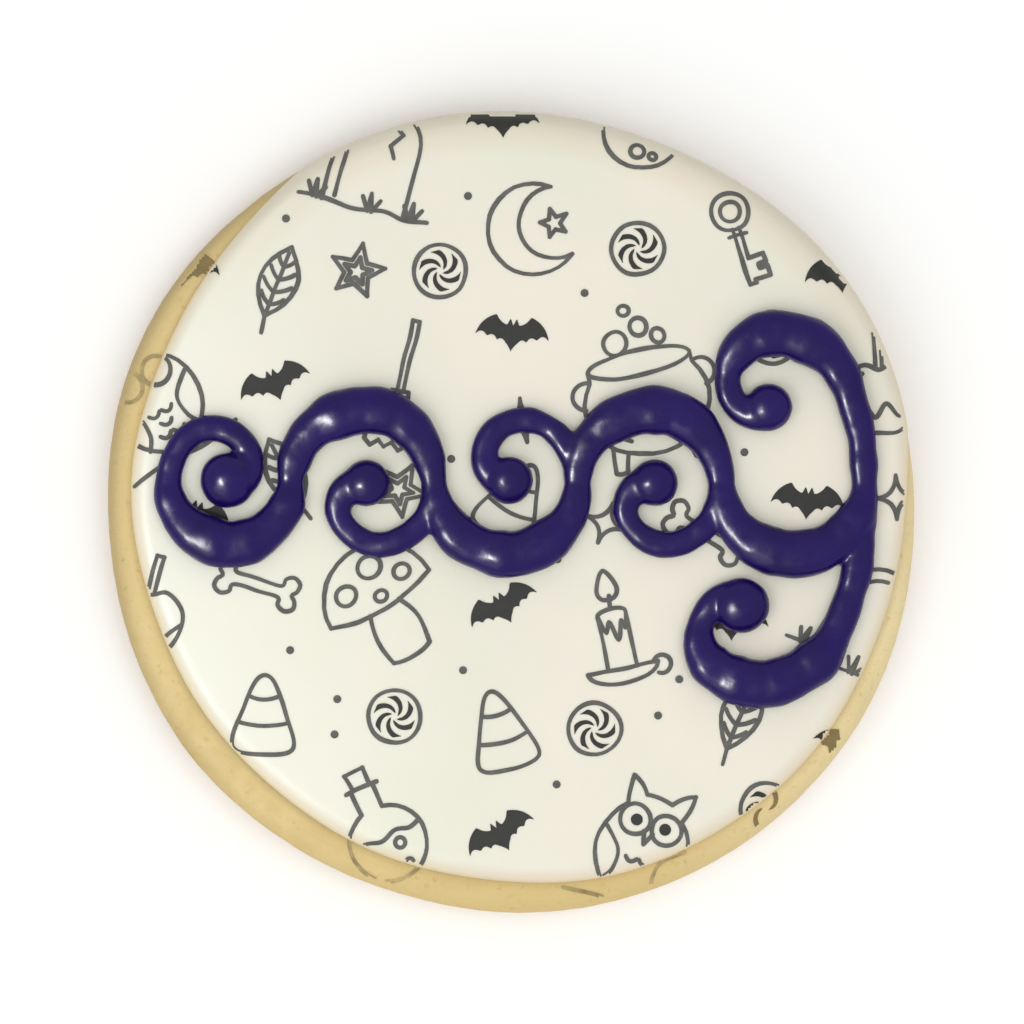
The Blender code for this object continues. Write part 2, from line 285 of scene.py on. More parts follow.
class Surface:
    """A material being made: its nodes, its links and its Principled shader."""

    def __init__(self, name):
        self.material = bpy.data.materials.new(name)
        self.material.use_nodes = True
        self.nodes = self.material.node_tree.nodes
        self.links = self.material.node_tree.links
        self.shader = self.nodes["Principled BSDF"]
        self.place = self.nodes.new("ShaderNodeNewGeometry").outputs["Position"]

    def fill(self, node, inputs):
        """Give a node's inputs, named or numbered, what they take: a socket to link, or a value."""
        for name, value in inputs.items():
            if isinstance(value, bpy.types.NodeSocket):
                self.links.new(value, node.inputs[name])
            else:
                node.inputs[name].default_value = value
        return node

    def add(self, kind, inputs):
        """A new node with its inputs filled."""
        return self.fill(self.nodes.new(kind), inputs)

    def finish(self, inputs):
        """The material, with the inputs of its shader filled."""
        self.fill(self.shader, inputs)
        return self.material

    def noise(self, wavelength, detail=2.0, rough=0.5, warp=0.0):
        """Smooth random patches, about one wavelength across, from 0 to 1."""
        inputs = {"Scale": 1.0 / wavelength, "Detail": detail, "Roughness": rough, "Distortion": warp}
        return self.add("ShaderNodeTexNoise", {"Vector": self.place, **inputs}).outputs["Fac"]

    def cells(self, wavelength):
        """The distance from scattered points, in cells about one wavelength across."""
        inputs = {"Vector": self.place, "Scale": 1.0 / wavelength}
        return self.add("ShaderNodeTexVoronoi", inputs).outputs["Distance"]

    def towards(self, degrees):
        """How far a place lies from the middle towards one side, given as an angle from +X."""
        node = self.nodes.new("ShaderNodeVectorMath")
        node.operation = "DOT_PRODUCT"
        way = (math.cos(math.radians(degrees)), math.sin(math.radians(degrees)), 0.0)
        return self.fill(node, {0: self.place, 1: way}).outputs["Value"]

    def attribute(self, name):
        node = self.nodes.new("ShaderNodeAttribute")
        node.attribute_name = name
        return node.outputs["Fac"]

    def ramp(self, factor, stops):
        """Colours along a factor, as (position, red, green, blue) rows."""
        node = self.add("ShaderNodeValToRGB", {"Fac": factor})
        elements = node.color_ramp.elements
        while len(elements) < len(stops):
            elements.new(0.5)
        for element, (position, *tone) in zip(elements, stops):
            element.position = position
            element.color = colour(*tone)
        return node.outputs["Color"]

    def spread(self, factor, low, high, to_low=0.0, to_high=1.0):
        """A factor's range from low to high, stretched to another range."""
        inputs = {"Value": factor, "From Min": low, "From Max": high, "To Min": to_low, "To Max": to_high}
        return self.add("ShaderNodeMapRange", inputs).outputs["Result"]

    def mix(self, factor, first, second, blend="MIX"):
        """Two colours mixed; each is a socket or a colour, and so the factor is a socket or a number."""
        node = self.nodes.new("ShaderNodeMix")
        node.data_type = "RGBA"
        node.blend_type = blend
        return self.fill(node, {0: factor, 6: first, 7: second}).outputs[2]

    def bump(self, height, depth, below=None):
        """Relief of a height from 0 to 1, so many metres deep."""
        inputs = {"Strength": 1.0, "Distance": depth, "Height": height}
        if below is not None:
            inputs["Normal"] = below
        return self.add("ShaderNodeBump", inputs).outputs["Normal"]


def dough_material():
    """Pale golden shortbread dough: paler inside, browner at the rim and the base, with a fine crumb,
    painted shade along the icing and towards one side, and painted light towards another.
    """
    surface = Surface("baked_dough")
    golden = surface.ramp(surface.noise(6 * MM, 3.0, 0.6, 0.4), [
        (0.30, 216, 192, 134),
        (0.50, 228, 205, 147),
        (0.70, 236, 216, 160),
    ])
    rim = surface.ramp(surface.attribute("inset"), [
        (0.00, 222, 212, 194),
        (0.08, 238, 234, 226),
        (0.34, 255, 255, 255),
    ])
    toned = surface.mix(1.0, golden, rim, "MULTIPLY")
    # Painted shade along the icing's edge: the dough is darker where the icing meets it
    shaded_and_lit_dough = surface.mix(surface.attribute("shade_near_icing"), toned, colour(188, 172, 128))
    brown_rim = surface.ramp(surface.attribute("inset"), [
        (0.00, 184, 162, 117),
        (0.12, 192, 169, 119),
        (0.28, 214, 191, 134),
        (0.44, 222, 199, 142),
    ])
    # Towards the upper left the rim is darker and browner; towards the bottom the dough has painted shade,
    # towards the right painted light
    sides = (
        (BROWN_SIDE, brown_rim),
        (DOUGH_SHADED_SIDE, colour(213, 189, 130)),
        (DOUGH_LIT_SIDE, colour(246, 230, 186)),
    )
    for (side, start, strength), tone in sides:
        share = surface.spread(surface.towards(side), start, SIDE_REACH, 0.0, strength)
        shaded_and_lit_dough = surface.mix(share, shaded_and_lit_dough, tone)
    browned = surface.mix(surface.attribute("browning"), shaded_and_lit_dough, colour(166, 122, 66))
    specks = surface.spread(surface.noise(0.7 * MM, 2.0, 0.6), 0.60, 0.76, 0.0, 0.45)
    crumb = surface.bump(surface.noise(0.55 * MM, 3.0, 0.6), 0.10 * MM)
    grains = surface.bump(surface.spread(surface.cells(1.1 * MM), 0.05, 0.30), 0.04 * MM, crumb)
    return surface.finish({
        "Base Color": surface.mix(specks, browned, colour(196, 165, 104)),
        "Roughness": 0.82,
        "Specular IOR Level": 0.25,
        "Subsurface Weight": 0.12,
        "Subsurface Radius": (0.9 * MM, 0.6 * MM, 0.3 * MM),
        "Subsurface Scale": 1.0,
        "Normal": surface.bump(surface.spread(surface.cells(2.3 * MM), 0.03, 0.13), 0.12 * MM, grains),
    })


def icing_material():
    """Smooth off-white royal icing: satin, a little translucent, creamier at its thin edge, with painted
    light towards one side and painted shade along the edge of another.
    """
    surface = Surface("cream_icing")
    drift = surface.ramp(surface.noise(18 * MM, 1.0, 0.4), [
        (0.30, 233, 232, 214),
        (0.50, 236, 233, 218),
        (0.70, 240, 234, 219),
    ])
    edge = surface.ramp(surface.attribute("inset"), [
        (0.00, 238, 222, 196),
        (0.08, 246, 236, 222),
        (0.20, 250, 246, 243),
        (0.36, 255, 255, 255),
    ])
    # Painted shade: a greyer, darker edge on one side
    shaded_edge = surface.ramp(surface.attribute("inset"), [
        (0.00, 228, 224, 214),
        (0.10, 234, 230, 222),
        (0.30, 247, 243, 238),
        (0.60, 249, 245, 240),
        (1.00, 255, 255, 255),
    ])
    # Painted light: a broad, lighter patch towards one side
    lit_share = surface.spread(surface.towards(ICING_LIT_SIDE), 12 * MM, 40 * MM)
    lit_icing = surface.mix(lit_share, drift, colour(246, 246, 231))
    shaded_side_share = surface.spread(surface.towards(ICING_SHADED_SIDE), 12 * MM, 34 * MM)
    return surface.finish({
        "Base Color": surface.mix(1.0, lit_icing, surface.mix(shaded_side_share, edge, shaded_edge), "MULTIPLY"),
        "Roughness": surface.spread(surface.noise(3 * MM), 0.3, 0.7, 0.40, 0.50),
        "Specular IOR Level": 0.35,
        "Subsurface Weight": 0.15,
        "Subsurface Radius": (0.8 * MM, 0.7 * MM, 0.5 * MM),
        "Subsurface Scale": 1.0,
        "Normal": surface.bump(surface.noise(0.35 * MM), 0.004 * MM),
    })


def piping_material():
    """Dark blue-violet piping icing with a satin skin and painted shade where it meets the icing."""
    surface = Surface("indigo_icing")
    shade = surface.ramp(surface.noise(5 * MM), [(0.30, 26, 7, 80), (0.70, 33, 13, 93)])
    return surface.finish({
        # Painted shade: darker low down on the beads, where they meet the icing
        "Base Color": surface.mix(surface.attribute("foot"), shade, colour(10, 2, 34)),
        "Roughness": surface.spread(surface.noise(1.6 * MM), 0.3, 0.7, 0.22, 0.34),
        "Specular IOR Level": 0.26,
        "Normal": surface.bump(surface.noise(0.8 * MM), 0.02 * MM),
    })


def ink_material(name, light, dark, solid, patches):
    """Edible ink with uneven patches of one size, as an inkjet lays it, and a deeper tone where solid."""
    surface = Surface(name)
    density = surface.ramp(surface.noise(patches, 3.0, 0.6), [(0.30, *dark), (0.70, *light)])
    return surface.finish({
        "Base Color": surface.mix(surface.attribute("solid"), density, colour(*solid)),
        "Roughness": 0.6,
        "Specular IOR Level": 0.2,
    })


def floor_material():
    """Plain white paper, lit a little from below as on a light table."""
    return Surface("white_floor").finish({
        "Base Color": (0.97, 0.97, 0.97, 1.0),
        "Emission Color": (1.0, 1.0, 1.0, 1.0),
        "Emission Strength": FLOOR_GLOW,
        "Roughness": 0.9,
        "Specular IOR Level": 0.1,
    })


def make_floor():
    """A plain white floor, wide enough for every view."""
    bpy.ops.mesh.primitive_plane_add(size=6.0, location=(0.0, 0.0, 0.0))
    floor = bpy.context.object
    floor.name = "floor"
    floor.data.materials.append(floor_material())


def waves(angle, parts):
    """The sum of some waves round a rim, at angles in radians."""
    return sum(height * np.cos(count * (angle - math.radians(crest))) for count, height, crest in parts)


def biscuit_rim(angle):
    """The biscuit's outer radius."""
    return BISCUIT_RADIUS + waves(angle, RIM_WAVES)


def rim_distance(angle):
    """How far the biscuit's rim is from the middle of the icing."""
    reach = BISCUIT_RADIUS
    for _ in range(4):
        x = ICING_CENTRE[0] + reach * np.cos(angle)
        y = ICING_CENTRE[1] + reach * np.sin(angle)
        reach = reach + biscuit_rim(np.arctan2(y, x)) - np.hypot(x, y)
    return reach


def icing_rim(angle):
    """The icing's outer radius about its middle: its own edge, or the biscuit's rim where that is nearer."""
    own = ICING_RADIUS + waves(angle, ICING_WAVES)
    limit = rim_distance(angle)
    return 0.5 * (own + limit - np.hypot(own - limit, ICING_RIM_BLEND))


def icing_inset(points):
    """How far each point lies inside the icing's edge, seen from above."""
    x, y = (points[:, :2] - ICING_CENTRE).T
    return icing_rim(np.arctan2(y, x)) - np.hypot(x, y)


def biscuit_inset(x, y):
    """How far each place lies inside the biscuit's rim, seen from above."""
    return biscuit_rim(np.arctan2(y, x)) - np.hypot(x, y)


def biscuit_top(x, y, limit):
    """The height of the biscuit's upper face, down the shoulder to a distance from the rim."""
    along = 1 - np.minimum(np.maximum(biscuit_inset(x, y), limit) / SHOULDER_WIDTH, 1.0)
    return BISCUIT_TOP - SHOULDER_DROP * (1 - np.sqrt(1 - along * along))


def edge_profile(radius, height, shoulder, foot):
    """Half the section of a disc's edge, from the inner part of its top face to that of its base.

    The shoulder and the foot are quarter ellipses, each given by its width and its height.
    """
    flat_top = radius - shoulder[0]
    flat_base = radius - foot[0]
    insets = [FLAT_RING_STEP * step for step in range(FLAT_RING_COUNT, 0, -1)]
    angles = [math.pi / 2 * step / EDGE_STEPS for step in range(EDGE_STEPS + 1)]
    points = [(flat_top - inset, height) for inset in insets]
    for angle in angles:
        drop = shoulder[1] * (1 - math.cos(angle))
        points.append((flat_top + shoulder[0] * math.sin(angle), height - drop))
    for angle in angles[1:]:
        points.append((flat_base + foot[0] * math.cos(angle), foot[1] * (1 - math.sin(angle))))
    points += [(flat_base - inset, 0.0) for inset in reversed(insets)]
    return points


def even_disc(radius, height):
    """A flat disc of even quads: a square grid whose rings are bent round. Returns points and faces."""
    cells = TURN_STEPS // 4
    ticks = np.linspace(-1.0, 1.0, cells + 1)
    across, along = np.meshgrid(ticks, ticks, indexing="ij")
    sideways = np.abs(across) > np.abs(along)
    reach = np.where(sideways, across, along)
    slope = np.where(sideways, along, across) / np.where(reach == 0.0, 1.0, reach)
    angle = np.where(sideways, math.pi / 4 * slope, math.pi / 2 - math.pi / 4 * slope)
    heights = np.full_like(reach, height)
    points = np.stack([reach * radius * np.cos(angle), reach * radius * np.sin(angle), heights], axis=-1)
    row = cells + 1
    corner = (row * np.arange(cells)[:, None] + np.arange(cells)).ravel()
    faces = np.stack([corner, corner + row, corner + row + 1, corner + 1], axis=1)
    return points.reshape(-1, 3), faces


def ring_quads(count, size):
    """Quads between so many rings of so many points each."""
    here = np.arange(size)
    after = (here + 1) % size
    upper = size * np.arange(count - 1)[:, None]
    lower = upper + size
    return np.stack([upper + here, lower + here, lower + after, upper + after], axis=2).reshape(-1, 4)


def turned_rings(profile):
    """Rings of quads from a profile, at the same angles as the even disc's rim."""
    angles = 2 * math.pi * np.arange(TURN_STEPS) / TURN_STEPS + math.pi / 4
    way = np.column_stack([np.cos(angles), np.sin(angles)])
    rings = [np.column_stack([radius * way, np.full(TURN_STEPS, height)]) for radius, height in profile]
    return np.vstack(rings), ring_quads(len(rings), TURN_STEPS)


def rounded_disc(radius, height, shoulder, foot, rim):
    """A closed disc whose radius at each angle is the rim's. Returns points and faces."""
    profile = edge_profile(radius, height, shoulder, foot)
    base_points, base_faces = even_disc(*profile[-1])
    parts = (even_disc(*profile[0]), turned_rings(profile), (base_points, base_faces[:, ::-1]))
    faces = []
    count = 0
    for points, quads in parts:
        faces.append(quads + count)
        count += len(points)
    points = np.vstack([points for points, _ in parts])
    angle = np.arctan2(points[:, 1], points[:, 0])
    points[:, :2] *= (rim(angle) / radius)[:, None]
    return points, np.vstack(faces)


def mesh_object(name, points, faces):
    """A new object from points and faces, with doubled points welded and faces turned outwards."""
    mesh = bpy.data.meshes.new(name)
    mesh.from_pydata([tuple(point) for point in points], [], [tuple(face) for face in faces])
    work = bmesh.new()
    work.from_mesh(mesh)
    bmesh.ops.remove_doubles(work, verts=work.verts, dist=WELD)
    bmesh.ops.recalc_face_normals(work, faces=work.faces)
    work.to_mesh(mesh)
    work.free()
    mesh.shade_smooth()
    return add_object(name, mesh)


def vertex_array(mesh, kind="co"):
    """The places of a mesh's vertices, or their normals, as rows."""
    flat = np.empty(len(mesh.vertices) * 3)
    mesh.vertices.foreach_get(kind, flat)
    return flat.reshape(-1, 3)


def set_vertices(mesh, points):
    mesh.vertices.foreach_set("co", points.ravel())
    mesh.update()


def set_attribute(mesh, name, values):
    """A number for each vertex, kept from 0 to 1, for the material."""
    layer = mesh.attributes.new(name, "FLOAT", "POINT")
    layer.data.foreach_set("value", np.clip(values, 0.0, 1.0).astype(np.float32))


def lumps(points, wavelength, seed):
    """Smooth random values from about 0 to 1 at some points."""
    shift = Vector((seed * 7.3, seed * 3.1, seed * 5.7))
    return np.array([0.5 + 0.5 * noise.noise(Vector(point) / wavelength + shift) for point in points])


def layered(points, layers):
    """The sum of some layers of lumps at some points."""
    return sum(lumps(points, wavelength, seed) * depth for wavelength, depth, seed in layers)


def wear(mesh, layers, outset=0.0):
    """Move a mesh's vertices inwards by layers of lumps, and all of them out again by the outset."""
    points = vertex_array(mesh)
    depth = layered(points, layers) - outset
    set_vertices(mesh, points - vertex_array(mesh, "normal") * depth[:, None])


def dress(piece, node, material):
    """Put a finished piece in the place of its solid."""
    piece.data.materials.append(material)
    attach(piece, "root")
    if node:
        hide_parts(node)
    return piece


def make_biscuit():
    """The baked dough, with the uneven skin that the oven gives it."""
    shoulder = (SHOULDER_WIDTH, SHOULDER_DROP)
    foot = (FOOT_WIDTH, BISCUIT_TOP - SHOULDER_DROP)
    points, faces = rounded_disc(BISCUIT_RADIUS, BISCUIT_TOP, shoulder, foot, biscuit_rim)
    biscuit = mesh_object("baked_biscuit", points, faces)
    mesh = biscuit.data
    wear(mesh, BAKED_LUMPS)
    points = vertex_array(mesh)
    points[:, 2] = np.maximum(points[:, 2] - points[:, 2].min(), 0.0)
    set_vertices(mesh, points)
    set_attribute(mesh, "inset", biscuit_inset(points[:, 0], points[:, 1]) / RIM_TONES)
    # Where shade is painted on the dough, along the icing's edge
    set_attribute(mesh, "shade_near_icing", 1 + icing_inset(points) / ICING_SHADE_WIDTH)
    low = np.clip(1 - (points[:, 2] + layered(points, BROWNED_LUMPS)) / BROWNED_HEIGHT, 0.0, 1.0)
    set_attribute(mesh, "browning", BROWNED_SHARE * low ** BROWNED_FADE)
    return dress(biscuit, "biscuit", dough_material())


def make_icing():
    """The flood of icing, draped over the dough and very slightly uneven."""
    thickness = ICING_TOP - BISCUIT_TOP
    shoulder = (ICING_EDGE_WIDTH, ICING_EDGE_DROP)
    foot = (ICING_FOOT_WIDTH, thickness - ICING_EDGE_DROP)
    points, faces = rounded_disc(ICING_RADIUS, thickness, shoulder, foot, icing_rim)
    points[:, :2] += ICING_CENTRE
    sag = layered(points, FLOOD_LUMPS)
    under = biscuit_top(points[:, 0], points[:, 1], FILL_LIMIT) - ICING_SINK
    over = biscuit_top(points[:, 0], points[:, 1], DRAPE_LIMIT) + thickness - sag
    points[:, 2] = under + (over - under) * points[:, 2] / thickness
    icing = mesh_object("smooth_flood_icing", points, faces)
    set_attribute(icing.data, "inset", icing_inset(vertex_array(icing.data)) / RIM_TONES)
    return dress(icing, "flood_icing", icing_material())


def scroll_path(start, heading, side, shape, swell):
    """The middle line of one scroll, as (x, y, half width) for each step.

    It turns through an arc of one radius, to the left for side 1 or to the right for side -1, and then
    through a curl whose radius shrinks evenly.
    """
    arc_radius, arc_turn, curl_radius, curl_turn, tightening = shape
    swell_width, swell_turn = swell
    x, y = start
    turned = 0.0
    rows = [(x, y, THIN_HALF_WIDTH)]
    while turned < arc_turn + curl_turn:
        bend = arc_radius
        if turned >= arc_turn:
            bend = curl_radius * math.exp(-tightening * (turned - arc_turn))
        step = min(PATH_STEP, STEP_OF_BEND * bend)
        turn = step / bend
        direction = math.radians(heading + side * turned) + side * turn / 2
        x += step * math.cos(direction)
        y += step * math.sin(direction)
        turned += math.degrees(turn)
        swollen = math.sin(math.pi * min(1.0, turned / swell_turn))
        rows.append((x, y, THIN_HALF_WIDTH + (swell_width - THIN_HALF_WIDTH) * swollen))
    return rows


def widen_end(rows, radius):
    """The same line, swelling towards the drop that ends it."""
    made = []
    left = 0.0
    ahead = rows[-1]
    for row in reversed(rows):
        left += math.hypot(row[0] - ahead[0], row[1] - ahead[1])
        near = max(0.0, 1 - left / DROP_LENGTH)
        made.append((row[0], row[1], row[2] + (DROP_SHARE * radius - row[2]) * near * near))
        ahead = row
    return made[::-1]


def scroll_plan():
    """Each stroke of the ornament: its middle line, and the radius of its end ball or None."""
    up = 90.0
    down = -90.0
    join_x = FIRST_JOIN_X
    strokes = [(scroll_path((join_x, MIDDLE_Y), down, -1, START_SCROLL, STEM_SWELL), LARGE_BALL_RADIUS)]
    chain = ((-1, CHAIN_SCROLL), (1, CHAIN_SCROLL), (-1, CHAIN_SCROLL), (1, CHAIN_END))
    for side, shape in chain:
        heading = up if side < 0 else down
        ball_radius = BALL_RADIUS if shape is CHAIN_SCROLL else None
        strokes.append((scroll_path((join_x, MIDDLE_Y), heading, side, shape, STEM_SWELL), ball_radius))
        join_x += 2 * shape[0]
    strokes.append((scroll_path((join_x, MIDDLE_Y), up, 1, BOW_TOP, TOP_SWELL), BALL_RADIUS))
    strokes.append((scroll_path((join_x, MIDDLE_Y), down, -1, BOW_TAIL, TAIL_SWELL), LARGE_BALL_RADIUS))
    return [(widen_end(rows, radius) if radius else rows, radius) for rows, radius in strokes]


def wander(along, wavelength, seed, level):
    """A smooth random value along a line, from about -0.7 to 0.7."""
    return noise.noise(Vector((along / wavelength, seed, level)))


def shaky(rows, seed):
    """The same line as a hand pipes it: its width and its course waver a little."""
    made = []
    for index, (x, y, width) in enumerate(rows):
        along = index * PATH_STEP
        drift = HAND_DRIFT * min(1.0, index / HAND_EASE)
        drift_x = drift * wander(along, HAND_WAVE, seed, 3.0)
        drift_y = drift * wander(along, HAND_WAVE, seed, 6.0)
        swell = sum(share * wander(along, wave, seed, level) for wave, share, level in HAND_SWELLS)
        made.append((x + drift_x, y + drift_y, width * (1 + swell)))
    return made


def bead_rings(rows):
    """The rings of a round-ended bead along a middle line, as an array of rings of points."""
    line = np.array(rows)
    ways = np.gradient(line[:, :2], axis=0)
    ways /= np.linalg.norm(ways, axis=1)[:, None]
    centres = [(x, y, width, width, way) for (x, y, width), way in zip(rows, ways)]
    caps = []
    for (x, y, width, _, way), side in ((centres[0], -1), (centres[-1], 1)):
        cap = []
        for step in range(1, CAP_STEPS):
            angle = math.pi / 2 * step / CAP_STEPS
            reach = side * width * math.sin(angle)
            cap.append((x + way[0] * reach, y + way[1] * reach, width * math.cos(angle), width, way))
        caps.append(cap)
    centres = caps[0][::-1] + centres + caps[1]
    turns = 2 * math.pi * np.arange(BEAD_SIDES) / BEAD_SIDES
    across = np.sign(np.cos(turns)) * np.abs(np.cos(turns)) ** BEAD_ROUNDNESS
    up = np.sign(np.sin(turns)) * np.abs(np.sin(turns)) ** BEAD_ROUNDNESS
    rings = []
    for x, y, width, bead_width, way in centres:
        out = across * width
        rise = (BEAD_LIFT * bead_width + up * width) * BEAD_FLATNESS
        rings.append(np.column_stack([x - way[1] * out, y + way[0] * out, rise]))
    return rings


def bead_mesh(rows):
    """Points and faces of one closed bead."""
    rings = bead_rings(rows)
    points = np.vstack(rings)
    outward = ring_quads(len(rings), BEAD_SIDES)[:, [0, 3, 2, 1]]
    faces = [tuple(quad) for quad in outward]
    faces.append(tuple(range(BEAD_SIDES))[::-1])
    faces.append(tuple(range(len(points) - BEAD_SIDES, len(points))))
    return points, faces


def make_scroll():
    """The piping: hand-drawn beads and balls run together into one piece of icing."""
    work = bmesh.new()
    for seed, (rows, ball_radius) in enumerate(scroll_plan()):
        rows = shaky(rows, seed)
        points, faces = bead_mesh(rows)
        vertices = [work.verts.new(point) for point in points]
        for face in faces:
            work.faces.new([vertices[index] for index in face])
        if ball_radius:
            x, y, _ = rows[-1]
            place = Matrix.Translation((x, y, BEAD_LIFT * BEAD_FLATNESS * ball_radius))
            squash = Matrix.Diagonal((1.0, 1.0, BEAD_FLATNESS, 1.0))
            bmesh.ops.create_uvsphere(
                work,
                u_segments=BALL_TURNS,
                v_segments=BALL_RINGS,
                radius=ball_radius,
                matrix=place @ squash,
            )
    mesh = bpy.data.meshes.new("glossy_piped_scroll")
    work.to_mesh(mesh)
    work.free()
    scroll = add_object("glossy_piped_scroll", mesh)
    remesh = scroll.modifiers.new("run_together", "REMESH")
    remesh.mode = "VOXEL"
    remesh.voxel_size = VOXEL
    smooth = scroll.modifiers.new("soften", "SMOOTH")
    smooth.iterations = SMOOTHING_ROUNDS
    mesh = bpy.data.meshes.new_from_object(scroll.evaluated_get(bpy.context.evaluated_depsgraph_get()))
    scroll.modifiers.clear()
    scroll.data = mesh
    wear(mesh, PIPED_LUMPS, SOFTENING)
    points = vertex_array(mesh)
    points[:, 2] = np.maximum(points[:, 2] + SCROLL_BASE, ICING_TOP - SCROLL_SINK)
    set_vertices(mesh, points)
    # Where shade is painted on the piping: low down, near the icing
    set_attribute(mesh, "foot", 1 - (points[:, 2] - ICING_TOP) / CONTACT_SHADE_HEIGHT)
    mesh.shade_smooth()
    return dress(scroll, "piped_scroll", piping_material())


def polar(centre, reach, angle, squash=1.0):
    """The place so far from a centre at an angle in radians; squash flattens its height."""
    return (centre[0] + reach * math.cos(angle), centre[1] + squash * reach * math.sin(angle))


def arc(centre, radius, start, end, squash=1.0):
    """Points along an arc, from one angle to another in degrees."""
    count = max(4, math.ceil(abs(end - start) / ARC_STEP))
    angles = [math.radians(start + (end - start) * step / count) for step in range(count + 1)]
    return [polar(centre, radius, angle, squash) for angle in angles]


def ring(centre, radius, squash=1.0):
    """A whole circle or ellipse."""
    return arc(centre, radius, 0.0, 360.0, squash)


def bows(rows):
    """A line from corner to corner; each row is x, y and how far the stretch after it bows to its left."""
    points = []
    for (x, y, bow), (next_x, next_y, _) in zip(rows, rows[1:]):
        along = Vector((next_x - x, next_y - y))
        left = Vector((-along.y, along.x)).normalized()
        for step in range(BOW_STEPS + 1):
            part = step / BOW_STEPS
            place = Vector((x, y)) + along * part + left * (4 * bow * part * (1 - part))
            points.append((place.x, place.y))
    return points


def curve(points, closed=False):
    """A smooth line through some points."""
    if closed:
        points = [points[-1]] + list(points) + list(points[:2])
    else:
        points = [points[0]] + list(points) + [points[-1]]
    made = []
    for index in range(1, len(points) - 2):
        before, here, after, beyond = (Vector(point) for point in points[index - 1:index + 3])
        for step in range(BOW_STEPS):
            t = step / BOW_STEPS
            place = 0.5 * (
                2 * here
                + (after - before) * t
                + (2 * before - 5 * here + 4 * after - beyond) * t ** 2
                + (3 * here - before - 3 * after + beyond) * t ** 3
            )
            made.append((place.x, place.y))
    made.append(made[0] if closed else tuple(points[-2]))
    return made


def mirrored_curve(half):
    """A smooth closed outline from its right half, which runs from top to bottom of the middle line."""
    return curve(half + [(-x, y) for x, y in reversed(half[1:-1])], closed=True)


def both_sides(marks):
    """Some marks and their mirror images."""
    return marks + [(kind, [(-x, y) for x, y in points]) for kind, points in marks]


def pen(*lines):
    """Pen lines of the print."""
    return [("line", list(points)) for points in lines]


def blot(points):
    """A filled shape of the print."""
    return [("patch", list(points))]


def circles(rows, squash=1.0):
    """Pen circles, as (place, radius) rows."""
    return pen(*(ring(place, radius, squash) for place, radius in rows))


def bat():
    """A filled bat with scalloped wings."""
    head = [(0.0, 0.7, 0.0), (0.26, 1.3, 0.0), (0.52, 0.72, -0.14)]
    wing = [(1.45, 1.55, 0.34), (3.1, -0.3, -0.36), (2.1, -0.35, -0.3), (1.25, -0.6, -0.22)]
    half = bows(head + wing + [(0.55, -0.7, -0.05), (0.0, -1.45, 0.0)])
    return blot(half + [(-x, y) for x, y in reversed(half)])


def crescent():
    """A crescent moon with a small star between its horns."""
    centre, radius, horn = -0.6, 4.0, 50.0
    inner_centre = 1.3
    tip_x, tip_y = polar((centre, 0.0), radius, math.radians(horn))
    inner_radius = math.hypot(tip_x - inner_centre, tip_y)
    inner_horn = math.degrees(math.atan2(tip_y, tip_x - inner_centre))
    outline = arc((centre, 0.0), radius, horn, 360.0 - horn)
    outline += arc((inner_centre, 0.0), inner_radius, 360.0 - inner_horn, inner_horn)
    return pen(outline, star_outline((1.3, 0.0), 1.25, 0.55))


def star_outline(centre, outer, inner):
    """The outline of a five-pointed star."""
    reaches = (outer, inner) * 5 + (outer,)
    return [polar(centre, reach, math.pi / 2 + math.pi * turn / 5) for turn, reach in enumerate(reaches)]


def star():
    """A five-pointed star with a smaller one inside."""
    return pen(star_outline((0.0, 0.0), 2.9, 1.3), star_outline((0.0, 0.0), 1.5, 0.65))


def swirl_sweet():
    """A round boiled sweet with curved dark stripes."""
    marks = pen(ring((0.0, 0.0), 2.75))
    for stripe in range(SWIRL_STRIPES):
        start = 360.0 * stripe / SWIRL_STRIPES
        one_side = swirl_arm(start)
        other_side = swirl_arm(start + 0.45 * 360.0 / SWIRL_STRIPES)
        marks += blot(one_side + other_side[::-1])
    return marks


def swirl_arm(start):
    """A curved ray of the boiled sweet, from near its middle out towards its rim."""
    parts = [step / BOW_STEPS for step in range(BOW_STEPS + 1)]
    return [polar((0.0, 0.0), 0.35 + 1.85 * part, math.radians(start + 75.0 * part)) for part in parts]


def twinkle():
    """A small star of four long rays."""
    reach, bow = 2.0, -0.62
    corners = [(0, reach), (reach, 0), (0, -reach), (-reach, 0), (0, reach)]
    return pen(bows([(x, y, bow) for x, y in corners]))


def cauldron():
    """A bubbling pot on three feet."""
    rim_y, rim_radius = 1.7, 3.3
    belly = arc((0.0, -0.8), 4.0, 146.0, 394.0, 0.84)
    pot = [(-rim_radius, rim_y)] + belly + [(rim_radius, rim_y)]
    handle = arc((3.75, 0.35), 0.85, -80.0, 110.0)
    foot = bows([(1.9, -3.75, 0.0), (2.2, -4.9, -0.1), (2.9, -4.9, 0.0), (2.8, -3.2, 0.0)])
    bubbles = circles([((-1.2, 3.2), 0.75), ((0.5, 3.9), 0.55), ((1.6, 3.1), 0.45), ((-0.2, 5.1), 0.35)])
    shine = pen(arc((0.0, -0.8), 3.1, 195.0, 240.0, 0.84))
    rim = ring((0.0, rim_y), rim_radius, 0.24)
    return pen(rim, pot) + both_sides(pen(handle, foot)) + bubbles + shine


